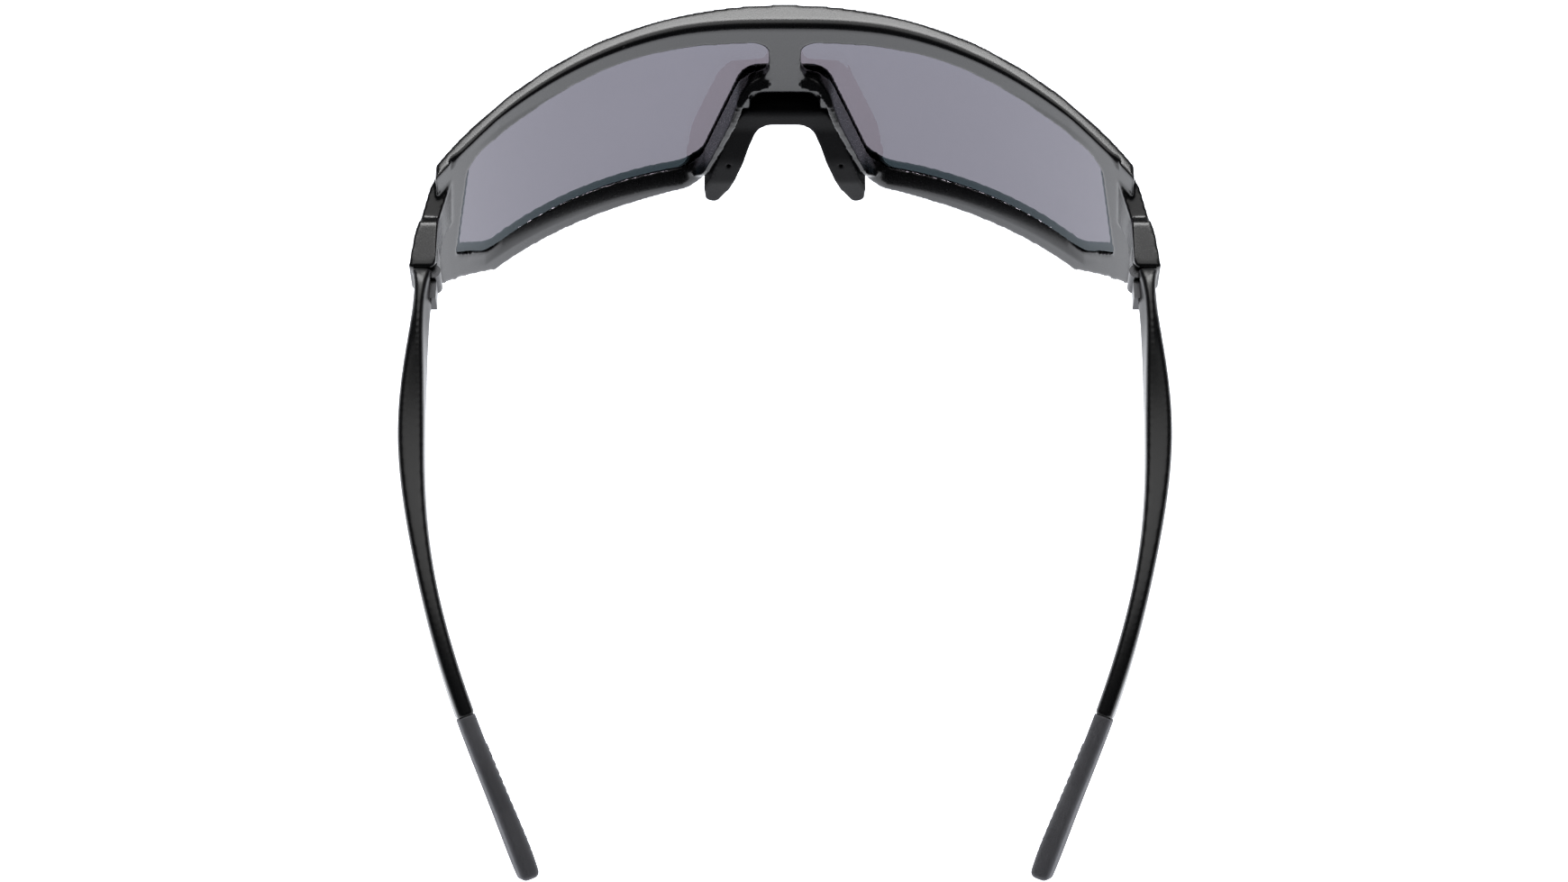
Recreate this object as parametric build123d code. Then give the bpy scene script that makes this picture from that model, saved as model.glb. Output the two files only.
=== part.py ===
"""Wraparound sport sunglasses: one moulded front, one shield lens, two folding temples.

Millimetres. +Z is up, the front faces -Y, and the temples run back along +Y. The sunglasses stand
open on a table, on the low edges of the rims and the two temple tips, and the origin is the bottom
centre of their bounding box. Left is the wearer's left, +X.

The front is drawn in its own frame: x across, y back from the middle of the brow, z up the front.
That frame leans forward by FRONT_TILT. Every layer of the front, and the lens, is an arc moved
straight back, so the walls get thinner towards the temples, as they do on a moulded front.
"""
from build123d import *
import math
import os

# Front: overall
FRONT_RADIUS = 81.5
REAR_RADIUS = 84.0
FRONT_TILT = 6.0
FRONT_HALF_WIDTH = 67.4
FRONT_HEIGHT = 50.0
FRONT_DEPTH = 5.6
BROW_SAG = 5.0
# Front: rims round the eye openings
BROW_RIM = 5.6
LOWER_RIM = 5.2
TEMPORAL_RIM = 3.4
SIDE_FLARE = 1.4
T_BAR_HALF_WIDTH = 3.2
BRIDGE_DROP = 21.2
NASAL_BAND = 3.4
NASAL_SLOPE = 19.0
FLANGE_WALL = 1.4
FLANGE_DEPTH = 11.2
# Lens and its groove
LENS_THICKNESS = 2.0
LENS_SETBACK = 1.0
LENS_BITE = 1.3
LENS_CLEARANCE = 0.05
# Nose pad, its bendable core and the tabs that hold it
WEB_HEIGHT = 6.0
WEB_DEPTH = 3.2
PAD_SLOT = 3.2
PAD_BRIDGE_HEIGHT = 3.8
PAD_BRIDGE_REACH = 8.2
PAD_REACH = 12.4
PAD_WING_WIDTH = 5.8
PAD_TOE_DROP = 0.6
CORE_RADIUS = 0.7
CORE_SETBACK = 8.0
PIN_HOLE_RADIUS = 0.45
TAB_WIDTH = 1.1
TAB_HEIGHT = 3.6
TAB_REACH = 1.8
# Lugs
LUG_THICKNESS = 5.3
LUG_HEIGHT = 9.6
LUG_STEP = 0.8
# Temples
TEMPLE_LENGTH = 111.3
TEMPLE_TUCK = 22.0
TIP_FOOT = 3.16
HEAD_HEIGHT = 9.5
HEAD_THICKNESS = 4.7
MID_HEIGHT = 7.0
EAR_HEIGHT = 6.6
EAR_THICKNESS = 3.4
TIP_HEIGHT = 8.6
TIP_THICKNESS = 3.9
TIP_ROUND = 1.2
EDGE_RADIUS = 1.25
SLEEVE_SHARE = 0.73
TANG_SHARE = 0.86
TANG_SCALE = 0.55
WIRE_RADIUS = 0.6
WIRE_START_SHARE = 0.62
WIRE_END_SHARE = 0.955
GRIP_THICKNESS = 0.7
GRIP_PROUD = 0.15
GRIP_SHARE = 0.62
# Hinges
HINGE_OUTSET = 0.8
LUG_LENGTH = 20.32
JOINT_Z = -12.0
JOINT_GAP = 0.3
KNUCKLE_RADIUS = 1.5
KNUCKLE_HEIGHT = 2.1
KNUCKLE_GAP = 0.05
LEAF_PROUD = 0.7
LEAF_INSET = 1.3
LEAF_LENGTH = 5.5
LEAF_HEIGHT = 4.6
LEAF_CLEARANCE = 0.15
ANCHOR_DEPTH = 1.2
ANCHOR_LENGTH = 3.0
ANCHOR_HEIGHT = 2.6
SCREW_RADIUS = 0.7
SCREW_CLEARANCE = 0.03
SCREW_HEAD_RADIUS = 1.1
SCREW_HEAD_HEIGHT = 0.7
SCREW_SLOT = 0.3
BODY_CLEARANCE = 0.3

# Worked-out sizes
HINGE_X = FRONT_HALF_WIDTH + HINGE_OUTSET
FRONT_END_Y = FRONT_RADIUS - math.sqrt(FRONT_RADIUS**2 - FRONT_HALF_WIDTH**2)
JOINT_Y = FRONT_END_Y + LUG_LENGTH
NASAL_TOP = -BRIDGE_DROP + 1.6
RIM_FOOT = LOWER_RIM - FRONT_HEIGHT
WEB_LOW = -BRIDGE_DROP - WEB_HEIGHT
BARREL_HEIGHT = 3 * KNUCKLE_HEIGHT + 2 * KNUCKLE_GAP
REACH = FRONT_HALF_WIDTH + 4.0


def arc_y(x, setback=0.0, radius=FRONT_RADIUS):
    """How far back an arc of the front is at x."""
    return setback + radius - math.sqrt(radius**2 - x**2)


def layer(near, far, far_radius=FRONT_RADIUS):
    """A slab of the front between two setbacks, from above the brow to below the rims."""
    low = -FRONT_HEIGHT - 4.0
    arcs = []
    for setback, radius in ((near, FRONT_RADIUS), (far, far_radius)):
        end_y = arc_y(REACH, setback, radius)
        arcs.append(ThreePointArc((-REACH, end_y, low), (0, setback, low), (REACH, end_y, low)))
    ends = [Line(arcs[0] @ share, arcs[1] @ share) for share in (0, 1)]
    return extrude(make_face([*arcs, *ends]), amount=FRONT_HEIGHT + 8.0, dir=(0, 0, 1))


def rounded_path(corners, closed=True):
    """Lines and tangent arcs through (point, radius) corners; an arc is limited by its two lines."""
    points = [Vector(*point) for point, radius in corners]
    count = len(points)
    joints = []
    for index, (point, radius) in enumerate(corners):
        corner = points[index]
        if not closed and index in (0, count - 1):
            joints.append((corner, None, corner))
            continue
        back = points[index - 1] - corner
        ahead = points[(index + 1) % count] - corner
        half_angle = math.radians(back.get_angle(ahead)) / 2
        reach = min(radius / math.tan(half_angle), 0.49 * back.length, 0.49 * ahead.length)
        arc_radius = reach * math.tan(half_angle)
        bisector = (back.normalized() + ahead.normalized()).normalized()
        middle = corner + bisector * (arc_radius / math.sin(half_angle) - arc_radius)
        start = corner + back.normalized() * reach
        end = corner + ahead.normalized() * reach
        joints.append((start, middle, end))
    edges = [ThreePointArc(*joint) for joint in joints if joint[1] is not None]
    pairs = zip(joints, joints[1:] + joints[:1]) if closed else zip(joints, joints[1:])
    edges += [Line(first[2], second[0]) for first, second in pairs]
    return Wire(edges)


def front_outline(corners):
    """A closed outline in the front's x-z plane from (x, z, radius) corners."""
    return make_face(rounded_path([((x, 0, z), radius) for x, z, radius in corners]).edges())


def side_outline(corners):
    """A closed outline in the y-z plane from (y, z, radius) corners."""
    return make_face(rounded_path([((0, y, z), radius) for y, z, radius in corners]).edges())


def plan_outline(corners, height):
    """A closed outline at one height from (x, y, radius) corners."""
    return make_face(rounded_path([((x, y, height), radius) for x, y, radius in corners]).edges())


def push_back(face):
    """An outline of the x-z plane pushed right through the front."""
    return extrude(face, amount=80.0, dir=(0, 1, 0)).moved(Location((0, -10.0, 0)))


def push_across(face, width=REACH):
    """A side outline pushed out to the left, from the middle."""
    return extrude(face, amount=width, dir=(1, 0, 0))


def mirrored(shape):
    return mirror(shape, about=Plane.YZ)


def both_halves(corners):
    """A whole outline from its left half, which starts at the top and ends at the bottom."""
    return corners + [(-x, z, radius) for x, z, radius in reversed(corners)]


def lean(shape):
    """Stand the front's own frame up at its tilt."""
    return shape.moved(Location((0, 0, 0), (FRONT_TILT, 0, 0)))


def nasal_x(z):
    """The lens side of the rim beside the nose."""
    return T_BAR_HALF_WIDTH + 6.2 + (NASAL_TOP - z) * math.tan(math.radians(NASAL_SLOPE))


def eye_opening_corners():
    """The left eye's opening, from the T-bar round by the brow, temple, cheek and nose."""
    side = FRONT_HALF_WIDTH + SIDE_FLARE - TEMPORAL_RIM
    return [
        (T_BAR_HALF_WIDTH, -BROW_RIM - 0.2, 3.4),
        (side * 0.5, -BROW_RIM + 0.3, 90.0),
        (side - 3.6, -BROW_RIM - 3.7, 4.5),
        (side + 0.2, -FRONT_HEIGHT * 0.67, 3.0),
        (side - 4.9, RIM_FOOT + 3.7, 4.0),
        (nasal_x(RIM_FOOT) + 3.2, RIM_FOOT - 0.3, 4.0),
        (nasal_x(RIM_FOOT + 2.4), RIM_FOOT + 2.4, 4.5),
        (nasal_x(NASAL_TOP), NASAL_TOP, 4.0),
        (nasal_x(NASAL_TOP) - 2.4, NASAL_TOP + 2.5, 2.6),
        (T_BAR_HALF_WIDTH + 0.9, NASAL_TOP + 3.6, 1.4),
        (T_BAR_HALF_WIDTH, NASAL_TOP + 6.0, 3.0),
    ]


def shield_outline():
    """The lens's visible outline: both eye openings and the space between them."""
    return front_outline(both_halves(eye_opening_corners()[1:9]))


def front_corners():
    """The front's outline, from the middle of the brow to the web under the T-bar."""
    foot_x = nasal_x(-FRONT_HEIGHT) - 2.2
    return both_halves([
        (FRONT_HALF_WIDTH * 0.5, 0.0, 480.0),
        (FRONT_HALF_WIDTH + 0.5, -BROW_SAG, 0.4),
        (FRONT_HALF_WIDTH + 0.2, -12.0, 6.0),
        (FRONT_HALF_WIDTH + SIDE_FLARE, -25.0, 20.0),
        (FRONT_HALF_WIDTH + SIDE_FLARE, -FRONT_HEIGHT + 12.0, 2.0),
        (FRONT_HALF_WIDTH - 8.2, -FRONT_HEIGHT + 1.3, 2.0),
        (FRONT_HALF_WIDTH * 0.5, -FRONT_HEIGHT, 60.0),
        (foot_x + 2.4, -FRONT_HEIGHT + 0.2, 3.0),
        (foot_x - 0.6, -FRONT_HEIGHT + 2.6, 1.2),
        (nasal_x(WEB_LOW) - NASAL_BAND, WEB_LOW, 3.0),
    ])


def flange():
    """The deep wall beside the nose that the nose pad lies against."""
    wall = FLANGE_WALL
    turn = nasal_x(NASAL_TOP)
    outline = front_outline([
        (T_BAR_HALF_WIDTH, NASAL_TOP + 2.8, 0.3),
        (turn - 2.4, NASAL_TOP + 2.5, 2.6),
        (turn, NASAL_TOP, 4.0),
        (nasal_x(RIM_FOOT + 2.4), RIM_FOOT + 2.4, 4.5),
        (nasal_x(RIM_FOOT) + 1.2, RIM_FOOT - 0.4, 0.3),
        (nasal_x(RIM_FOOT) - wall * 0.6, RIM_FOOT - 1.6, 0.3),
        (nasal_x(RIM_FOOT + 2.4) - wall, RIM_FOOT + 2.4, 4.0),
        (turn - wall, NASAL_TOP - 0.6, 3.0),
        (turn - wall - 1.8, NASAL_TOP + 0.9, 2.0),
        (T_BAR_HALF_WIDTH, NASAL_TOP + 1.2, 0.3),
    ])
    side = side_outline([
        (LENS_SETBACK + LENS_THICKNESS, NASAL_TOP + 3.2, 0.3),
        (FRONT_DEPTH, NASAL_TOP + 3.2, 2.0),
        (FLANGE_DEPTH - 1.6, NASAL_TOP - 1.0, 3.0),
        (FLANGE_DEPTH, NASAL_TOP - 5.5, 5.0),
        (FLANGE_DEPTH, RIM_FOOT + 4.0, 5.0),
        (FRONT_DEPTH + 1.5, RIM_FOOT - 2.4, 0.5),
        (LENS_SETBACK + LENS_THICKNESS, RIM_FOOT - 2.4, 0.3),
    ])
    return push_back(outline) & push_across(side)


def pad_tab():
    """One of the two tabs under the T-bar that the nose pad clips onto."""
    x = nasal_x(NASAL_TOP) - FLANGE_WALL - TAB_WIDTH
    near = FRONT_DEPTH
    block = Box(TAB_WIDTH * 2, TAB_REACH, TAB_HEIGHT, align=(Align.MIN, Align.MIN, Align.MAX))
    return block.moved(Location((x, near, -BRIDGE_DROP + 0.4)))


def lug():
    """The end lug, in the upright frame: it steps down from the brow and carries the hinge."""
    outer = HINGE_X + HEAD_THICKNESS
    inner = outer - LUG_THICKNESS
    rear = JOINT_Y - JOINT_GAP / 2
    middle = JOINT_Z + LUG_HEIGHT / 2 + 0.2
    plan = plan_outline([
        (FRONT_HALF_WIDTH - 0.3, FRONT_END_Y - 1.5, 1.0),
        (FRONT_HALF_WIDTH + 1.9, JOINT_Y - 17.5, 8.0),
        (outer - 1.0, JOINT_Y - 8.0, 14.0),
        (outer, rear, 0.4),
        (inner, rear, 1.3),
        (inner - 0.2, JOINT_Y - 11.0, 12.0),
        (FRONT_HALF_WIDTH - 2.4, FRONT_END_Y + 1.6, 0.5),
    ], -30.0)
    side = side_outline([
        (FRONT_END_Y - 4.0, middle + 3 * LUG_STEP, 0.5),
        (JOINT_Y - 11.6, middle - LUG_STEP, 1.6),
        (JOINT_Y - 9.8, middle, 1.0),
        (rear, middle - 0.3, 0.8),
        (rear, middle - LUG_HEIGHT, 0.8),
        (FRONT_END_Y - 4.0, middle - LUG_HEIGHT - 2.0, 0.5),
    ])
    return extrude(plan, amount=40.0, dir=(0, 0, 1)) & push_across(side, REACH + 20.0)


def make_front_frame(hinge_pockets):
    body = layer(0.0, FRONT_DEPTH, REAR_RADIUS) & push_back(front_outline(front_corners()))
    opening = push_back(front_outline(eye_opening_corners()))
    shield = shield_outline()
    groove_edge = offset(shield, amount=LENS_BITE + LENS_CLEARANCE)
    near = LENS_SETBACK - LENS_CLEARANCE
    far = LENS_SETBACK + LENS_THICKNESS + LENS_CLEARANCE
    web_pocket = front_outline(both_halves([
        (nasal_x(NASAL_TOP) - FLANGE_WALL - 3.2, -BRIDGE_DROP, 1.2),
        (nasal_x(WEB_LOW) - FLANGE_WALL, WEB_LOW + 0.6, 1.0),
        (nasal_x(WEB_LOW - 4.0) - FLANGE_WALL, WEB_LOW - 4.0, 0.3),
    ]))
    body -= layer(WEB_DEPTH, 30.0) & push_back(web_pocket)
    side = flange()
    body = body + side + mirrored(side)
    body -= opening
    body -= mirrored(opening)
    body -= layer(-4.0, far) & push_back(shield)
    body -= layer(near, far) & push_back(groove_edge)
    tab = pad_tab()
    body = body + tab + mirrored(tab)
    body = lean(body)
    end = lug() - lean(layer(-20.0, far) & push_back(groove_edge))
    body = body + end + mirrored(end)
    for pocket in hinge_pockets:
        body -= pocket
    return body


def make_lens():
    edge = offset(shield_outline(), amount=LENS_BITE)
    slab = layer(LENS_SETBACK, LENS_SETBACK + LENS_THICKNESS)
    return lean(slab & push_back(edge))


def make_nose_pad(front_frame, core):
    """A soft saddle that fills the arch behind the web and lies against the two flanges."""
    top = -BRIDGE_DROP - PAD_SLOT
    arch = top - PAD_BRIDGE_HEIGHT
    toe = -FRONT_HEIGHT - PAD_TOE_DROP
    outer = -FLANGE_WALL
    inner = outer - PAD_WING_WIDTH
    outline = front_outline(both_halves([
        (nasal_x(top) + outer - 1.4, top, 1.6),
        (nasal_x(top - 5.0) + outer, top - 5.0, 6.0),
        (nasal_x(RIM_FOOT) + outer - 0.1, RIM_FOOT, 3.0),
        (nasal_x(toe) + outer - 2.4, toe + 1.2, 1.5),
        (nasal_x(toe) + outer - 4.6, toe + 0.2, 1.5),
        (nasal_x(RIM_FOOT) + inner + 0.6, RIM_FOOT - 0.6, 8.0),
        (nasal_x(arch - 5.0) + inner + 0.4, arch - 5.0, 8.0),
        (nasal_x(arch) + inner - 0.1, arch, 6.6),
    ]))
    side = side_outline([
        (WEB_DEPTH, top + 1.0, 0.3),
        (PAD_BRIDGE_REACH - 1.0, top + 1.0, 0.3),
        (PAD_BRIDGE_REACH, top - 1.0, 2.0),
        (PAD_BRIDGE_REACH + 0.4, arch - 1.0, 5.0),
        (PAD_REACH - 0.6, arch - 8.0, 8.0),
        (PAD_REACH, RIM_FOOT + 3.0, 6.0),
        (PAD_REACH - 1.6, toe - 1.0, 0.3),
        (FRONT_DEPTH + 1.4, toe - 1.0, 0.3),
        (FRONT_DEPTH + 1.0, arch - 2.0, 3.0),
        (WEB_DEPTH, arch - 1.0, 1.0),
    ])
    half = push_across(side)
    saddle = push_back(outline) & (half + mirrored(half))
    saddle = lean(saddle) - front_frame - core
    drill = Cylinder(PIN_HOLE_RADIUS, PAD_REACH - CORE_SETBACK + 2.0, rotation=(90, 0, 0))
    hole_z = arch - 9.0
    hole_x = nasal_x(hole_z) + outer - PAD_WING_WIDTH * 0.45
    hole = lean(drill.moved(Location((hole_x, (PAD_REACH + CORE_SETBACK) / 2 + 1.0, hole_z))))
    return saddle - hole - mirrored(hole)


def make_nose_pad_core():
    """A bendable wire that follows the saddle, moulded inside it."""
    middle = -FLANGE_WALL - PAD_WING_WIDTH / 2
    bridge = -BRIDGE_DROP - PAD_SLOT - PAD_BRIDGE_HEIGHT / 2
    half = [
        ((nasal_x(bridge) + middle - 2.2, CORE_SETBACK - 1.8, bridge), 3.0),
        ((nasal_x(bridge - 5.0) + middle, CORE_SETBACK, bridge - 5.0), 6.0),
        ((nasal_x(RIM_FOOT) + middle, CORE_SETBACK + 1.0, RIM_FOOT), 1.0),
    ]
    other = [((-x, y, z), radius) for (x, y, z), radius in half]
    wire = rounded_path(other[::-1] + half, closed=False)
    start = Plane(origin=wire @ 0, z_dir=wire % 0)
    return lean(sweep(start * Circle(CORE_RADIUS), path=wire))


def temple_path(front_low):
    """The temple's centre line: out and slightly down to the ear, then down and in to the tip."""
    drop = JOINT_Z - front_low - TIP_FOOT
    start = HINGE_X + HEAD_THICKNESS / 2
    shape = [
        (-0.009, -0.006, 0.004),
        (0.19, 0.046, -0.108),
        (0.425, -0.009, -0.228),
        (0.65, -0.26, -0.374),
        (0.75, -0.44, -0.526),
        (0.87, -0.713, -0.75),
        (1.0, -1.012, -1.0),
    ]
    return Spline([
        (start + TEMPLE_TUCK * out, JOINT_Y + TEMPLE_LENGTH * along, JOINT_Z + drop * up)
        for along, out, up in shape
    ])


TEMPLE_SECTIONS = [
    (0.0, HEAD_THICKNESS, HEAD_HEIGHT),
    (0.2, HEAD_THICKNESS, (HEAD_HEIGHT + MID_HEIGHT) / 2 + 0.1),
    (0.42, (HEAD_THICKNESS + EAR_THICKNESS) / 2, MID_HEIGHT),
    (0.63, EAR_THICKNESS, EAR_HEIGHT),
    (0.76, EAR_THICKNESS, EAR_HEIGHT + 0.3),
    (0.88, TIP_THICKNESS - 0.3, TIP_HEIGHT - 0.7),
    (0.955, TIP_THICKNESS, TIP_HEIGHT),
    (1.0, TIP_THICKNESS - 0.3, TIP_HEIGHT - 1.0),
]


def temple_size(share):
    """The temple's thickness and height at a share of its length."""
    for (first, thick_a, high_a), (second, thick_b, high_b) in zip(
        TEMPLE_SECTIONS, TEMPLE_SECTIONS[1:]
    ):
        if share <= second:
            blend = (share - first) / (second - first)
            return thick_a + (thick_b - thick_a) * blend, high_a + (high_b - high_a) * blend
    return TEMPLE_SECTIONS[-1][1:]


def temple_plane(path, share):
    """The plane across the temple at a share of its length, with x outwards."""
    along = path % share
    out = along.cross(Vector(0, 0, 1)).normalized()
    return Plane(origin=path @ share, x_dir=out, z_dir=along)


def temple_loft(path, shares, size):
    """A solid through rounded sections; size gives each one's width, height and inset."""
    sections = []
    for share in shares:
        width, height, inset = size(share)
        corner = min(EDGE_RADIUS, 0.42 * width, 0.42 * height)
        section = RectangleRounded(width, height, corner)
        sections.append(temple_plane(path, share) * Location((inset, 0, 0)) * section)
    return loft(sections)


def make_temple(path, leaf):
    """The left temple's five pieces, cut from one outer shape."""
    def full(share):
        return (*temple_size(share), 0.0)

    def tang_size(share):
        width, height = temple_size(share)
        return width * TANG_SCALE, height * TANG_SCALE, 0.0

    def grip_size(share):
        width, height = temple_size(share)
        return GRIP_THICKNESS + GRIP_PROUD, height * GRIP_SHARE, (
            GRIP_THICKNESS / 2 - GRIP_PROUD / 2 - width / 2
        )

    outer = temple_loft(path, [share for share, *rest in TEMPLE_SECTIONS], full)
    outer = fillet(outer.faces().sort_by(Axis.Y)[-1].edges(), radius=TIP_ROUND)
    seam = temple_plane(path, SLEEVE_SHARE)
    arm = split(outer, bisect_by=seam, keep=Keep.BOTTOM)
    sleeve = split(outer, bisect_by=seam, keep=Keep.TOP)
    tang_shares = [SLEEVE_SHARE - 0.02, (SLEEVE_SHARE + TANG_SHARE) / 2, TANG_SHARE]
    tang = temple_loft(path, tang_shares, tang_size)
    grip_shares = [SLEEVE_SHARE + 0.05, 0.82, 0.88, 0.93, 0.965]
    grip = temple_loft(path, grip_shares, grip_size)
    line = path.trim(WIRE_START_SHARE, WIRE_END_SHARE)
    wire = sweep(Plane(origin=line @ 0, z_dir=line % 0) * Circle(WIRE_RADIUS), path=line)
    front_cut = Box(40, 20, 60, align=(Align.CENTER, Align.MAX, Align.CENTER))
    arm -= front_cut.moved(Location((HINGE_X, JOINT_Y + JOINT_GAP / 2, JOINT_Z)))
    arm = arm + tang - wire - leaf - barrel_room()
    sleeve = sleeve - tang - wire - grip
    return {"temple_arm": arm, "tip_sleeve": sleeve, "tip_grip_pad": grip, "temple_core_wire": wire}


def barrel_room():
    """The hollow that the hinge barrel turns in, open below and covered above."""
    room = Cylinder(
        KNUCKLE_RADIUS + BODY_CLEARANCE, HEAD_HEIGHT * 2, align=(Align.CENTER, Align.CENTER, Align.MAX)
    )
    top = JOINT_Z + BARREL_HEIGHT / 2 + BODY_CLEARANCE / 2
    return room.moved(Location((HINGE_X, JOINT_Y, top)))


def knuckle(order):
    """One of the barrel's three knuckles, counted from the bottom."""
    height = (order - 1) * (KNUCKLE_HEIGHT + KNUCKLE_GAP)
    return Cylinder(KNUCKLE_RADIUS, KNUCKLE_HEIGHT).moved(Location((HINGE_X, JOINT_Y, JOINT_Z + height)))


def swept_room(order):
    """The space round a knuckle that the other leaf keeps clear of."""
    height = (order - 1) * (KNUCKLE_HEIGHT + KNUCKLE_GAP)
    room = Cylinder(KNUCKLE_RADIUS + LEAF_CLEARANCE, KNUCKLE_HEIGHT + 2 * KNUCKLE_GAP)
    return room.moved(Location((HINGE_X, JOINT_Y, JOINT_Z + height)))


def make_leaf(direction, own, others):
    """A hinge leaf: a plate let into the plastic, its anchor, and its knuckles."""
    start = JOINT_Y if direction > 0 else JOINT_Y - LEAF_LENGTH
    corner = (Align.MIN, Align.MIN, Align.CENTER)
    plate = Box(LEAF_PROUD + LEAF_INSET, LEAF_LENGTH, LEAF_HEIGHT, align=corner)
    plate = plate.moved(Location((HINGE_X - LEAF_PROUD, start, JOINT_Z)))
    anchor_y = JOINT_Y + direction * LEAF_LENGTH * 0.6 - ANCHOR_LENGTH / 2
    anchor = Box(ANCHOR_DEPTH, ANCHOR_LENGTH, ANCHOR_HEIGHT, align=corner)
    anchor = anchor.moved(Location((HINGE_X + LEAF_INSET, anchor_y, JOINT_Z)))
    leaf = plate + anchor
    for order in others:
        leaf -= swept_room(order)
    for order in own:
        leaf += knuckle(order)
    shaft = Cylinder(SCREW_RADIUS + SCREW_CLEARANCE, BARREL_HEIGHT * 2)
    leaf -= shaft.moved(Location((HINGE_X, JOINT_Y, JOINT_Z)))
    return leaf - screw_head(SCREW_CLEARANCE)


def screw_head(room):
    """The screw's head, let into the lowest knuckle from below."""
    low = JOINT_Z - BARREL_HEIGHT / 2
    head = Cylinder(
        SCREW_HEAD_RADIUS + room, SCREW_HEAD_HEIGHT + room, align=(Align.CENTER, Align.CENTER, Align.MIN)
    )
    return head.moved(Location((HINGE_X, JOINT_Y, low)))


def make_screw():
    shaft_height = BARREL_HEIGHT - SCREW_HEAD_HEIGHT
    shaft = Cylinder(SCREW_RADIUS, shaft_height, align=(Align.CENTER, Align.CENTER, Align.MAX))
    shaft = shaft.moved(Location((HINGE_X, JOINT_Y, JOINT_Z + BARREL_HEIGHT / 2)))
    slot = Box(SCREW_SLOT, 3 * SCREW_HEAD_RADIUS, SCREW_HEAD_HEIGHT)
    slot = slot.moved(Location((HINGE_X, JOINT_Y, JOINT_Z - BARREL_HEIGHT / 2)))
    return shaft + screw_head(0.0) - slot


frame_leaf = make_leaf(-1, (0, 2), (1,))
temple_leaf = make_leaf(1, (1,), (0, 2))
pockets = [frame_leaf, barrel_room()]
pockets += [mirrored(pocket) for pocket in pockets]
front_frame = make_front_frame(pockets)
core = make_nose_pad_core()
path = temple_path(front_frame.bounding_box().min.Z)
temple = make_temple(path, temple_leaf)
left = {
    "frame_hinge_leaf": frame_leaf,
    "temple_hinge_leaf": temple_leaf,
    "hinge_screw": make_screw(),
    **temple,
}
nodes = {
    "front_frame": front_frame,
    "shield_lens": make_lens(),
    "nose_pad": make_nose_pad(front_frame, core),
    "nose_pad_core": core,
}
nodes.update({"left_" + name: shape for name, shape in left.items()})
nodes.update({"right_" + name: mirrored(shape) for name, shape in left.items()})

# Stand the whole thing on its lowest points, with the origin under its middle.
box = Compound(children=[Compound(shape.solids()) for shape in nodes.values()]).bounding_box()
stand = Location((-(box.min.X + box.max.X) / 2, -(box.min.Y + box.max.Y) / 2, -box.min.Z))
os.makedirs("parts", exist_ok=True)
for name, shape in nodes.items():
    placed = shape.moved(stand)
    export_step(placed, f"parts/{name}.step")
    size = placed.bounding_box()
    print(name, round(placed.volume, 1), "mm3, lowest", round(size.min.Z, 2), len(placed.solids()))
pivot = Vector(HINGE_X, JOINT_Y, JOINT_Z) + Vector(*stand.position)
print("left hinge axis at", pivot, "moved by", stand.position)
print("overall", box.size)
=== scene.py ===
# %% [markdown]
# # Wraparound sport sunglasses
#
# The sunglasses stand open on a table: a black moulded front, one dark shield lens behind its two
# rims, a rubber saddle for the nose, and two temples on steel hinges with soft rubber tips.
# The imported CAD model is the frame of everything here. It is loaded first and never moved. Each
# visible piece is either a CAD node with a better material, or a new mesh that stands for one.

# %% Load the frame
import bmesh
import bpy
import math
import numpy as np
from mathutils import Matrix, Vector


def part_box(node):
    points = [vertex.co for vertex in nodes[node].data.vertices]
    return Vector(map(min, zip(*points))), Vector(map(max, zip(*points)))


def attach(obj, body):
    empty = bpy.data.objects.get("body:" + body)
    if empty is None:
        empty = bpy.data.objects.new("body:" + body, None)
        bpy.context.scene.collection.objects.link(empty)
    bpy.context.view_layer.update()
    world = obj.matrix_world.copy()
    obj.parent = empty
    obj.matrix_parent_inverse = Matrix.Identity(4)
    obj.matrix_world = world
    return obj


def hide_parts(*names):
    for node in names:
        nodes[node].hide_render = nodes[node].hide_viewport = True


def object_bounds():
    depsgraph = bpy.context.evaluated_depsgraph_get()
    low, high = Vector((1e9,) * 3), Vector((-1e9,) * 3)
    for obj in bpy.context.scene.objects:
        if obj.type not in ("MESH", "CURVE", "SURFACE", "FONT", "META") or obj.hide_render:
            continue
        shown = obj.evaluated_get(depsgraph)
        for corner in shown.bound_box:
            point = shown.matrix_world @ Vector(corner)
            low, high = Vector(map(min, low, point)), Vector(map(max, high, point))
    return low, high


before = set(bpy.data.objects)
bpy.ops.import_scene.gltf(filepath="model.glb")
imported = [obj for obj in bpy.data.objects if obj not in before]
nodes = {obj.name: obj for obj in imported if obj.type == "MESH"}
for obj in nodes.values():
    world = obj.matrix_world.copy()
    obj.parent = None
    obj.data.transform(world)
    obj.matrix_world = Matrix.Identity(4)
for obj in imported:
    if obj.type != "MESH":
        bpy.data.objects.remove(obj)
cad_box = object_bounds()
MM = 0.001
print("CAD box", [round(value, 4) for corner in cad_box for value in corner])

# %% [markdown]
# ## Camera
#
# The sunglasses are seen from behind and well above, as their owner sees them before putting them
# on. The camera could be aimed with a constraint and an empty, but three plain values are easier to
# follow: how high it looks from, how far away it is, and the point it looks at. A long lens keeps
# the two temples nearly parallel.

# %% Camera
CAMERA_ELEVATION = math.radians(62.0)
CAMERA_DISTANCE = 0.85
LOOK_AT = Vector((0.00017, -0.0024, 0.0193))

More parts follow.
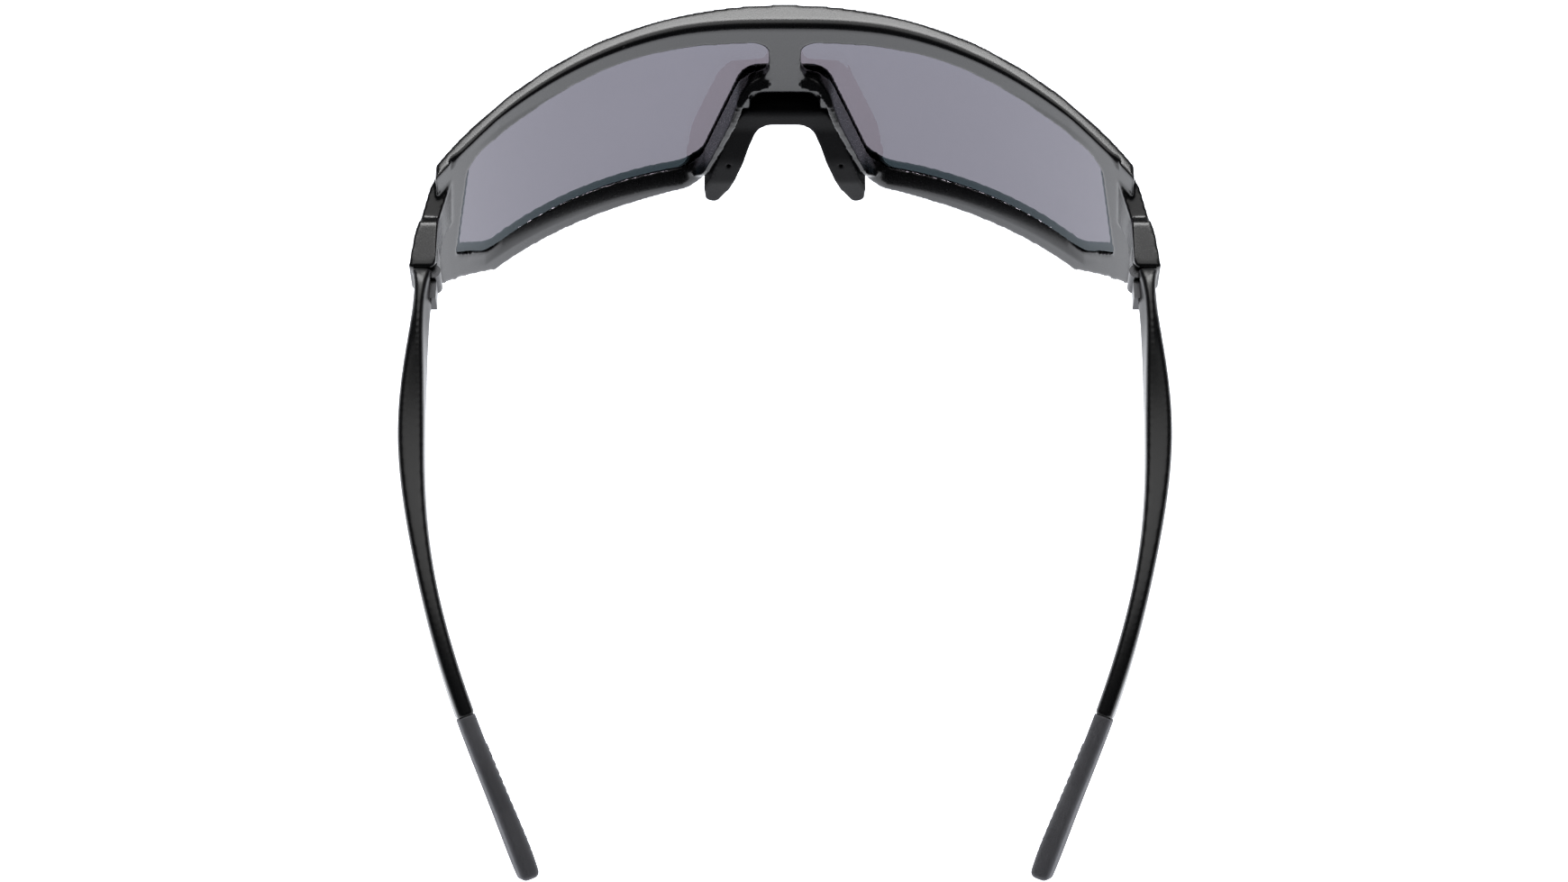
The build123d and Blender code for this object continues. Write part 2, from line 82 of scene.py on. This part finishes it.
camera_data = bpy.data.cameras.new("camera")
camera_data.lens = 100.0
camera_data.sensor_width = 36.0
camera_data.clip_start = 0.01
camera = bpy.data.objects.new("camera", camera_data)
bpy.context.scene.collection.objects.link(camera)
towards_camera = Vector((0.0, math.cos(CAMERA_ELEVATION), math.sin(CAMERA_ELEVATION)))
camera.location = LOOK_AT + towards_camera * CAMERA_DISTANCE
camera.rotation_euler = (-towards_camera).to_track_quat("-Z", "Y").to_euler()
bpy.context.scene.camera = camera
print("camera at", [round(value, 3) for value in camera.location])

# %% [markdown]
# ## Shader helpers
#
# Every surface here uses one Principled shader, because that one shader covers plastic, rubber,
# steel and glass. Two helpers save repeating the same lines: one starts a material, and the other
# sets the values that are the same all over a surface.

# %% Shader helpers
def new_material(name):
    """An empty node material with its output and one Principled shader."""
    material = bpy.data.materials.new(name)
    material.use_nodes = True
    tree = material.node_tree
    tree.nodes.clear()
    output = tree.nodes.new("ShaderNodeOutputMaterial")
    shader = tree.nodes.new("ShaderNodeBsdfPrincipled")
    tree.links.new(shader.outputs["BSDF"], output.inputs["Surface"])
    return material, tree, shader


def set_sockets(shader, **values):
    """Set plain values on a shader's sockets; a name's underscores stand for spaces."""
    for name, value in values.items():
        shader.inputs[name.replace("_", " ")].default_value = value


# %% [markdown]
# ## Table
#
# Black plastic is shown by what it mirrors, so the table matters as much as the lamps. A plain
# white one would turn grey away from the lamps. This one also glows a little, so that it stays
# white to its far edge, and the faces that look down or back at it turn grey.

# %% Table
TABLE_SIZE = 4.0
TABLE_SQUARES = 8
TABLE_GLOW = 1.7

table_mesh = bpy.data.meshes.new("table")
table_form = bmesh.new()
bmesh.ops.create_grid(
    table_form, x_segments=TABLE_SQUARES, y_segments=TABLE_SQUARES, size=TABLE_SIZE / 2,
)
table_form.to_mesh(table_mesh)
table_form.free()
table = bpy.data.objects.new("table", table_mesh)
bpy.context.scene.collection.objects.link(table)
table_paint, _, table_shader = new_material("table_paint")
set_sockets(
    table_shader, Base_Color=(0.86, 0.86, 0.87, 1.0), Roughness=0.9, Specular_IOR_Level=0.1,
    Emission_Color=(0.93, 0.95, 1.0, 1.0), Emission_Strength=TABLE_GLOW,
)
table_mesh.materials.append(table_paint)
print("table", TABLE_SIZE, "m across")

# %% [markdown]
# ## Lamps and room
#
# Two softboxes do the rest. A bright narrow one in front lights the middle of the brow and fades
# towards its ends, and a large weak one overhead gives the tops of the temples a soft sheen. The
# room itself is nearly dark. A bright room would be simpler, but it would grey every edge, and the
# rounded edges of black plastic need something dark to mirror.

# %% Lamps and room
def softbox(name, place, aim, size, radiance):
    """A rectangular light that looks at a point; radiance is how bright its face looks."""
    lamp = bpy.data.lights.new(name, "AREA")
    lamp.shape = "RECTANGLE"
    lamp.size, lamp.size_y = size
    lamp.energy = radiance * math.pi * size[0] * size[1]
    holder = bpy.data.objects.new(name, lamp)
    bpy.context.scene.collection.objects.link(holder)
    holder.location = place
    holder.rotation_euler = (Vector(aim) - Vector(place)).to_track_quat("-Z", "Y").to_euler()
    holder.visible_camera = False
    print(name, "energy", round(lamp.energy, 2), "W")


BROW_INSET = 0.01
BROW_MIDDLE = (0.0, cad_box[0][1] + BROW_INSET, cad_box[1][2])
AHEAD_ON_TABLE = (0.0, -0.10, 0.0)
softbox("brow_softbox", place=(0.0, -0.42, 0.44), aim=BROW_MIDDLE, size=(0.50, 0.15), radiance=10.8)
softbox("top_panel", place=(0.0, -0.25, 1.10), aim=AHEAD_ON_TABLE, size=(1.3, 0.75), radiance=1.1)

world = bpy.data.worlds.new("room")
world.use_nodes = True
world.node_tree.nodes["Background"].inputs["Color"].default_value = (0.9, 0.95, 1.0, 1.0)
world.node_tree.nodes["Background"].inputs["Strength"].default_value = 0.02
bpy.context.scene.world = world
bpy.context.scene.view_settings.view_transform = "Standard"

# %% [markdown]
# ## Plastics and rubbers
#
# The nylon of the front and the temples is satin, with a fine spark-eroded grain. The rubbers are
# matt and coarser. A flat colour would look like a toy, and a picture of grain would need its own
# layout on each mesh. So noise in the object's own space varies the colour over a centimetre or
# two, and a finer noise, at the size of the real grain, varies the roughness and the bump.

# %% Grained finish
MOTTLE_SCALE = 60.0
MOTTLE_SPAN = (0.35, 0.65)


def grained(name, dark, light, rough, grain, bump, **sockets):
    """A moulded finish: two close colours, a range of roughness, and a grain of a given size."""
    material, tree, shader = new_material(name)
    coordinate = tree.nodes.new("ShaderNodeTexCoord")

    def noise(scale, detail):
        node = tree.nodes.new("ShaderNodeTexNoise")
        node.inputs["Scale"].default_value = scale
        node.inputs["Detail"].default_value = detail
        tree.links.new(coordinate.outputs["Object"], node.inputs["Vector"])
        return node

    wear = noise(MOTTLE_SCALE, 3.0)
    ramp = tree.nodes.new("ShaderNodeValToRGB")
    for element, position, colour in zip(ramp.color_ramp.elements, MOTTLE_SPAN, (dark, light)):
        element.position = position
        element.color = (*colour, 1.0)
    tree.links.new(wear.outputs["Fac"], ramp.inputs["Fac"])
    tree.links.new(ramp.outputs["Color"], shader.inputs["Base Color"])

    fine = noise(1.0 / grain, 2.0)
    span = tree.nodes.new("ShaderNodeMapRange")
    span.inputs["To Min"].default_value = rough[0]
    span.inputs["To Max"].default_value = rough[1]
    tree.links.new(fine.outputs["Fac"], span.inputs["Value"])
    tree.links.new(span.outputs["Result"], shader.inputs["Roughness"])

    relief = tree.nodes.new("ShaderNodeBump")
    relief.inputs["Strength"].default_value = bump
    relief.inputs["Distance"].default_value = grain
    tree.links.new(fine.outputs["Fac"], relief.inputs["Height"])
    tree.links.new(relief.outputs["Normal"], shader.inputs["Normal"])
    set_sockets(shader, **sockets)
    print(name, "grain", round(grain / MM, 2), "mm")
    return material


# %% Nylon and rubber
NYLON = {"dark": (0.0022, 0.0022, 0.0026), "light": (0.0040, 0.0040, 0.0047), "grain": 0.25 * MM}
front_nylon = grained("front_nylon", **NYLON, rough=(0.22, 0.30), bump=0.05, IOR=1.55)
temple_nylon = grained("temple_nylon", **NYLON, rough=(0.28, 0.36), bump=0.06, IOR=1.55)
saddle_rubber = grained(
    "saddle_rubber", dark=(0.002, 0.002, 0.0023), light=(0.004, 0.004, 0.0045),
    rough=(0.42, 0.55), grain=0.3 * MM, bump=0.10, Specular_IOR_Level=0.09,
)
tip_rubber = grained(
    "tip_rubber", dark=(0.075, 0.075, 0.083), light=(0.110, 0.110, 0.120),
    rough=(0.68, 0.82), grain=0.16 * MM, bump=0.55,
)
grip_rubber = grained(
    "grip_rubber", dark=(0.050, 0.050, 0.054), light=(0.075, 0.075, 0.080),
    rough=(0.62, 0.75), grain=0.16 * MM, bump=0.45,
)

# %% [markdown]
# ## Steel
#
# The hinge leaves and screws are small steel parts, blackened so that they don't shine between the
# black mouldings. Bare metal would be simpler but too bright. Streaks left by the last polish come
# from noise that is drawn out along one direction, by scaling it less that way.

# %% Steel finish
STREAK_SCALE = (9000.0, 900.0, 9000.0)
STREAK_RELIEF = 0.05 * MM


def brushed_steel(name, rough):
    """Blackened steel: a dark metal with faint streaks along one direction."""
    material, tree, shader = new_material(name)
    coordinate = tree.nodes.new("ShaderNodeTexCoord")
    stretch = tree.nodes.new("ShaderNodeMapping")
    stretch.inputs["Scale"].default_value = STREAK_SCALE
    streak = tree.nodes.new("ShaderNodeTexNoise")
    streak.inputs["Detail"].default_value = 3.0
    span = tree.nodes.new("ShaderNodeMapRange")
    span.inputs["To Min"].default_value = rough[0]
    span.inputs["To Max"].default_value = rough[1]
    tint = tree.nodes.new("ShaderNodeValToRGB")
    tint.color_ramp.elements[0].color = (0.030, 0.030, 0.032, 1.0)
    tint.color_ramp.elements[1].color = (0.060, 0.060, 0.063, 1.0)
    relief = tree.nodes.new("ShaderNodeBump")
    relief.inputs["Strength"].default_value = 0.08
    relief.inputs["Distance"].default_value = STREAK_RELIEF
    tree.links.new(coordinate.outputs["Object"], stretch.inputs["Vector"])
    tree.links.new(stretch.outputs["Vector"], streak.inputs["Vector"])
    tree.links.new(streak.outputs["Fac"], span.inputs["Value"])
    tree.links.new(span.outputs["Result"], shader.inputs["Roughness"])
    tree.links.new(streak.outputs["Fac"], tint.inputs["Fac"])
    tree.links.new(tint.outputs["Color"], shader.inputs["Base Color"])
    tree.links.new(streak.outputs["Fac"], relief.inputs["Height"])
    tree.links.new(relief.outputs["Normal"], shader.inputs["Normal"])
    set_sockets(shader, Metallic=1.0)
    print(name, "roughness", rough)
    return material


hinge_steel = brushed_steel("hinge_steel", rough=(0.28, 0.40))
screw_steel = brushed_steel("screw_steel", rough=(0.18, 0.30))

# %% [markdown]
# ## Lens finish
#
# The shield is dark polycarbonate with a thin coat, so two things are seen in it: the white table
# through the tint, and the same table mirrored in the coat. A see-through dark plastic would lose
# the mirror, so this is glass: the IOR sets how strong the mirror is, the specular tint makes it a
# cold one, and the base colour dyes the light that passes. A faint cloud varies the dye.

# %% Lens glass
COAT_CLOUD_SCALE = 28.0
COAT_TINTS = ((0.099, 0.090, 0.104, 1.0), (0.108, 0.098, 0.114, 1.0))

lens_glass, lens_tree, lens_shader = new_material("lens_glass")
set_sockets(
    lens_shader, IOR=1.30, Transmission_Weight=1.0, Roughness=0.01,
    Specular_Tint=(0.25, 0.75, 1.0, 1.0),
)
lens_place = lens_tree.nodes.new("ShaderNodeTexCoord")
coat_cloud = lens_tree.nodes.new("ShaderNodeTexNoise")
coat_cloud.inputs["Scale"].default_value = COAT_CLOUD_SCALE
coat_tint = lens_tree.nodes.new("ShaderNodeValToRGB")
for element, colour in zip(coat_tint.color_ramp.elements, COAT_TINTS):
    element.color = colour
lens_tree.links.new(lens_place.outputs["Object"], coat_cloud.inputs["Vector"])
lens_tree.links.new(coat_cloud.outputs["Fac"], coat_tint.inputs["Fac"])
lens_tree.links.new(coat_tint.outputs["Color"], lens_shader.inputs["Base Color"])
print("lens tints", COAT_TINTS)

# %% [markdown]
# ## Moulded pieces
#
# A moulding has no sharp edges: the mould is cut with a small tool, and the plastic shrinks as it
# cools. The CAD solids give every face its true place but leave most edges sharp. A bevel would
# need clean edges, which a CAD mesh doesn't have. So each mesh is rebuilt as a fine even skin of
# squares and then relaxed a few times. That moves the flat stretches hardly at all, and turns each
# edge into a small round.

# %% Moulding helpers
def finished(form, modifiers):
    """Apply modifiers to an object's mesh and keep only the result."""
    for kind, values in modifiers:
        modifier = form.modifiers.new(kind.lower(), kind)
        for name, value in values.items():
            setattr(modifier, name, value)
    depsgraph = bpy.context.evaluated_depsgraph_get()
    mesh = bpy.data.meshes.new_from_object(form.evaluated_get(depsgraph))
    form.modifiers.clear()
    old = form.data
    form.data = mesh
    bpy.data.meshes.remove(old)


def relaxing(passes):
    """The modifier that relaxes a skin: half way to its neighbours' middle in each pass."""
    return ("SMOOTH", {"factor": 0.5, "iterations": passes})


def moulded(name, node, voxel, passes, material, body):
    """A rebuilt, softened copy of a CAD node, which it replaces."""
    form = bpy.data.objects.new(name, nodes[node].data.copy())
    bpy.context.scene.collection.objects.link(form)
    skin = {"mode": "VOXEL", "voxel_size": voxel * MM, "use_smooth_shade": True}
    finished(form, [("REMESH", skin), relaxing(passes)])
    form.data.materials.clear()
    form.data.materials.append(material)
    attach(form, body)
    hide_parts(node)
    print(name, len(form.data.polygons), "faces")
    return form


# %% [markdown]
# ## Front
#
# The front is one moulding: brow, two rims, the bar over the nose and the lug for each hinge. The
# helper above softens its edges. What is special to it is shaped afterwards, by moving the points
# of its skin, which is easier to control than a sculpt. Those moves are worked out in the front's
# own frame, because the front leans: x across, depth from front to rear, and height up the front.

# %% Moulded front
front = moulded(
    "front_moulding", "front_frame", voxel=0.4, passes=4, material=front_nylon, body="front",
)

# %% The front's own frame
LEAN = math.radians(6.0)
FRONT_ORIGIN = np.array([0.0, -84.4658, 49.2521]) * MM
lean_in = np.array([
    [1.0, 0.0, 0.0],
    [0.0, math.cos(LEAN), math.sin(LEAN)],
    [0.0, -math.sin(LEAN), math.cos(LEAN)],
])


def points_of(form):
    """A mesh's points as an array, in metres."""
    flat = np.zeros(len(form.data.vertices) * 3)
    form.data.vertices.foreach_get("co", flat)
    return flat.reshape(-1, 3)


def set_points(form, points):
    """Put a mesh's points where the array says."""
    form.data.vertices.foreach_set("co", points.ravel())
    form.data.update()


def to_front(points):
    """From the table's frame to the front's own frame."""
    return (points - FRONT_ORIGIN) @ lean_in.T


def from_front(points):
    """From the front's own frame back to the table's."""
    return points @ lean_in + FRONT_ORIGIN


x, depth, height = to_front(points_of(front)).T.copy()
print("front depth", round(np.ptp(depth) / MM, 1), "mm, height", round(np.ptp(height) / MM, 1), "mm")

# %% [markdown]
# The front and rear faces are parts of two upright cylinders, so an arc tells how far back each
# stands at any place across. The brow's own edges are cut by other curves. Their place is measured
# from the skin instead: the highest value in each narrow strip, averaged over its neighbours.

# %% Arcs and edges of the front
STRIP = 1.0 * MM
EVEN_STRIPS = 5
FRONT_RADIUS = 81.5 * MM
REAR_RADIUS = 84.0 * MM
FRONT_DEPTH = 5.6 * MM


def set_back(radius, across):
    """How far an arc has fallen back from its middle."""
    return radius - np.sqrt(radius**2 - across**2)


def edge_curve(across, values):
    """A smooth curve, along x, of the highest value in each strip."""
    strips = np.round(np.abs(across) / STRIP).astype(int)
    places = np.arange(strips.max() + 1)
    found = np.array([values[strips == place].max() if (strips == place).any() else np.nan
                      for place in places])
    known = ~np.isnan(found)
    found = np.interp(places, places[known], found[known])
    padded = np.pad(found, EVEN_STRIPS // 2, mode="edge")
    even = np.convolve(padded, np.ones(EVEN_STRIPS) / EVEN_STRIPS, mode="valid")
    return np.interp(np.abs(across), places * STRIP, even)


print("front falls back", round(set_back(FRONT_RADIUS, 60 * MM) / MM, 1), "mm at 60 mm across")

# %% [markdown]
# ## Brow
#
# The brow is deepest over the nose and thinner towards its sides. A lattice could squeeze it, but
# it would squeeze the lens groove too. Here only the depth behind the groove is scaled down, and
# the change fades out at the lugs and below the brow, so the rims and the hinges stay put.

# %% Thin the brow towards its sides
BROW_BAND = 6.5 * MM
BROW_FADE = 4.0 * MM
GROOVE_DEPTH = 3.2 * MM
SIDE_DEPTH = 4.2 * MM
MIDDLE_DEPTH = FRONT_DEPTH
MIDDLE_REACH = 17.0 * MM
LUG_START = 62.0 * MM
LUG_FADE = 6.0 * MM
BROW_END = LUG_START + 3.0 * MM

brow = (np.abs(x) < LUG_START) & (height > -BROW_BAND - BROW_FADE)
brow_x = x[brow]
fore = set_back(FRONT_RADIUS, np.clip(np.abs(brow_x), 0, BROW_END))
inner = depth[brow] - fore
full = edge_curve(brow_x, depth[brow]) - fore
wanted = SIDE_DEPTH + (MIDDLE_DEPTH - SIDE_DEPTH) * np.exp(-(brow_x / MIDDLE_REACH)**2)
share = np.clip((wanted - GROOVE_DEPTH) / (full - GROOVE_DEPTH), 0.0, 1.0)
thinner = np.where(inner > GROOVE_DEPTH, GROOVE_DEPTH + (inner - GROOVE_DEPTH) * share, inner)
fade_down = np.clip((height[brow] + BROW_BAND + BROW_FADE) / BROW_FADE, 0.0, 1.0)
fade_out = np.clip((LUG_START - np.abs(brow_x)) / LUG_FADE, 0.0, 1.0)
depth[brow] = fore + inner + (thinner - inner) * fade_down * fade_out
print("brow thinned at", int(brow.sum()), "points")

# %% [markdown]
# The brow's rear upper edge rests against the forehead, so it has a wide round. Each point in the
# corner beyond that round is pulled straight towards the round's centre until it lies on it.

# %% Round the brow's rear edge
BROW_ROUND = 1.9 * MM
EDGE_BAND = 9.0 * MM
TOP_STRIP = 3.0 * MM

brow = (np.abs(x) < BROW_END) & (height > -EDGE_BAND)
top = edge_curve(x[brow], height[brow])
upper = height[brow] > top - TOP_STRIP
top = top[upper]
chosen = np.flatnonzero(brow)[upper]
back = edge_curve(x[chosen], depth[chosen])
up = BROW_ROUND - (top - height[chosen])
rearward = BROW_ROUND - (back - depth[chosen])
reach = np.hypot(np.clip(up, 0, None), np.clip(rearward, 0, None))
corner = (up > 0) & (rearward > 0) & (reach > BROW_ROUND)
pull = BROW_ROUND / reach[corner]
height[chosen[corner]] = top[corner] - BROW_ROUND + up[corner] * pull
depth[chosen[corner]] = back[corner] - BROW_ROUND + rearward[corner] * pull
print("brow edge rounded at", int(corner.sum()), "points")

# %% [markdown]
# ## Lower rims
#
# The rims under the openings are rounder still. The rear edge beside the opening is rolled off over
# most of the rim's height, which leaves only a narrow flat strip along the bottom of the rear face.
# Four points follow the opening's lower edge, and the third is where it turns up to the hinge side.
# The roll is taller than it is deep, and its power lies between one, which would give a straight
# bevel, and two, which would give a full round. Points beyond the two limits belong to other faces
# and stay where they are.

# %% Round the lower rims
RIM_EDGE = np.array([(17.2, -42.4), (21.3, -45.1), (60.5, -41.1), (65.6, -33.5)]) * MM
RIM_START = RIM_EDGE[0, 0]
RIM_END = RIM_EDGE[2, 0]
RIM_FADE = 3.0 * MM
ROLL_HEIGHT = 3.4 * MM
ROLL_DEPTH = 2.7 * MM
ROLL_POWER = 1.2
ROLL_ABOVE_MAX = 1.5
ROLL_BEHIND_MAX = 1.3
ARC_END = 70.0 * MM

across = np.abs(x)
back = FRONT_DEPTH + set_back(REAR_RADIUS, np.clip(across, 0, ARC_END))
edge = np.interp(across, *RIM_EDGE.T)
above = 1.0 - (edge - height) / ROLL_HEIGHT
behind = 1.0 - (back - depth) / ROLL_DEPTH
reach = np.clip(above, 0, None)**ROLL_POWER + np.clip(behind, 0, None)**ROLL_POWER
reach = reach**(1.0 / ROLL_POWER)
rolled = (above > 0) & (behind > 0) & (reach > 1.0)
rolled &= (above < ROLL_ABOVE_MAX) & (behind < ROLL_BEHIND_MAX)
rolled &= (across > RIM_START) & (across < RIM_END + RIM_FADE)
fade = np.clip((across - RIM_START) / RIM_FADE, 0.0, 1.0)
fade *= np.clip((RIM_END + RIM_FADE - across) / (2 * RIM_FADE), 0.0, 1.0)
pull = 1.0 + (1.0 / np.maximum(reach, 1.0) - 1.0) * fade
height[rolled] = (edge - ROLL_HEIGHT * (1.0 - above * pull))[rolled]
depth[rolled] = (back - ROLL_DEPTH * (1.0 - behind * pull))[rolled]
set_points(front, from_front(np.column_stack([x, depth, height])))
finished(front, [relaxing(2)])
print("lower rims rolled at", int(rolled.sum()), "points")

# %% [markdown]
# ## Lens
#
# The shield is one cylindrical sheet of even thickness. The CAD mesh has only a few long facets
# across it, which would show as flat strips in a mirror, and the helper for mouldings would round
# its ground edge. So its own mesh is cut by many upright planes, and each new point is put exactly
# on the cylinder that it came from.

# %% Cut the lens sheet
LENS_STEP = 1.5 * MM
CUT_TOLERANCE = 0.01 * MM
WELD_DISTANCE = 0.001 * MM

lens_mesh = nodes["shield_lens"].data.copy()
lens = bpy.data.objects.new("lens_sheet", lens_mesh)
bpy.context.scene.collection.objects.link(lens)
# The imported normals belong to the old facets, and cutting would mix them up.
if "custom_normal" in lens_mesh.attributes:
    lens_mesh.attributes.remove(lens_mesh.attributes["custom_normal"])
lens_form = bmesh.new()
lens_form.from_mesh(lens_mesh)
bmesh.ops.remove_doubles(lens_form, verts=lens_form.verts, dist=WELD_DISTANCE)
cuts = int(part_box("shield_lens")[1].x / LENS_STEP)
for index in range(-cuts, cuts + 1):
    bmesh.ops.bisect_plane(
        lens_form, geom=lens_form.verts[:] + lens_form.edges[:] + lens_form.faces[:],
        plane_co=(index * LENS_STEP, 0.0, 0.0), plane_no=(1.0, 0.0, 0.0), dist=CUT_TOLERANCE,
    )
lens_form.to_mesh(lens_mesh)
lens_form.free()
print("lens sheet", len(lens_mesh.polygons), "faces")

# %% Curve the lens sheet
LENS_SETBACKS = (1.0 * MM, 3.0 * MM)
LENS_NEAR = 0.2 * MM
LENS_CREASE = math.radians(35.0)

points = to_front(points_of(lens))
curve = set_back(FRONT_RADIUS, points[:, 0])
depth_behind = points[:, 1] - curve
for setback in LENS_SETBACKS:
    near = np.abs(depth_behind - setback) < LENS_NEAR
    points[near, 1] = curve[near] + setback
    print("lens face at", round(setback / MM, 1), "mm:", int(near.sum()), "points")
set_points(lens, from_front(points))
for polygon in lens_mesh.polygons:
    polygon.use_smooth = True
lens_mesh.set_sharp_from_angle(angle=LENS_CREASE)
lens_mesh.materials.clear()
lens_mesh.materials.append(lens_glass)
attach(lens, "front")
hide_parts("shield_lens")

# %% [markdown]
# ## Nose saddle
#
# The saddle is soft rubber moulded over a bendable wire, with a wing down each side of the nose. It
# has no flat face or crisp edge anywhere, so it goes through the same helper as the plastic, with a
# finer skin that is relaxed more.

# %% Nose saddle
moulded(
    "nose_saddle", "nose_pad", voxel=0.25, passes=9, material=saddle_rubber, body="front",
)

# %% [markdown]
# ## Grip ribs
#
# A grip of softer rubber is let into the inner face of each tip, and ribs across it hold the hair.
# Bump in the material would only pretend that they are there. The ribs are pressed into the mesh
# instead: a wave along the grip moves only the points that face inward, and fades at both ends.

# %% Ribbed grip
RIB_PITCH = 1.7 * MM
RIB_DEPTH = 0.22 * MM
RIB_END = 1.0 * MM
FACING_START = 0.5
FACING_SPAN = 0.3


def ribbed(form, inward):
    """Press ribs across a grip's inner face, evenly spaced along it."""
    points = points_of(form)
    middle = points.mean(axis=0)
    along = np.linalg.svd(points - middle, full_matrices=False)[2][0]
    place = (points - middle) @ along
    normals = np.zeros(len(points) * 3)
    form.data.vertex_normals.foreach_get("vector", normals)
    facing = normals.reshape(-1, 3) @ np.array(inward)
    end = np.abs(place).max() - RIB_END
    press = np.clip((facing - FACING_START) / FACING_SPAN, 0.0, 1.0)
    press *= np.clip((end - np.abs(place)) / RIB_END, 0.0, 1.0)
    groove = 0.5 + 0.5 * np.cos(2 * np.pi * place / RIB_PITCH)
    points -= np.outer(press * groove**2 * RIB_DEPTH, inward)
    set_points(form, points)
    print(form.name, int(2 * end / RIB_PITCH), "ribs")


# %% [markdown]
# ## Temples
#
# Each temple is a nylon arm with a rubber sleeve over its end and the grip let into that. All three
# ride on the temple's own body. The two sides are mirror images, so one loop makes both.

# %% Arms, sleeves and grips
GRIP_INWARD = (-0.93, 0.37, 0.0)
TEMPLE_PIECES = (
    ("arm", "temple_arm", 0.4, 4, temple_nylon, "temple_nylon"),
    ("sleeve", "tip_sleeve", 0.3, 4, tip_rubber, "tip_rubber"),
    ("grip", "tip_grip_pad", 0.2, 3, grip_rubber, "grip_rubber"),
)

for side, outward in (("left", 1.0), ("right", -1.0)):
    body = side + "_temple"
    for name, node, voxel, passes, material, slot in TEMPLE_PIECES:
        piece_name = side + "_" + name
        piece = moulded(piece_name, side + "_" + node, voxel, passes, material, body)
        if name == "grip":
            ribbed(piece, (outward * GRIP_INWARD[0], GRIP_INWARD[1], GRIP_INWARD[2]))

# %% [markdown]
# ## Steel parts
#
# The hinge leaves, the screws and the wires inside the temples and the saddle are already right as
# they come from CAD, because turned and stamped steel keeps crisp edges. They stay as they are and
# only get a finish.

# %% Steel parts
for name, node in nodes.items():
    finish = None
    if "leaf" in name or "wire" in name or name == "nose_pad_core":
        finish = hinge_steel
    if "screw" in name:
        finish = screw_steel
    if finish:
        node.data.materials.clear()
        node.data.materials.append(finish)
        print(name, "in", finish.name)
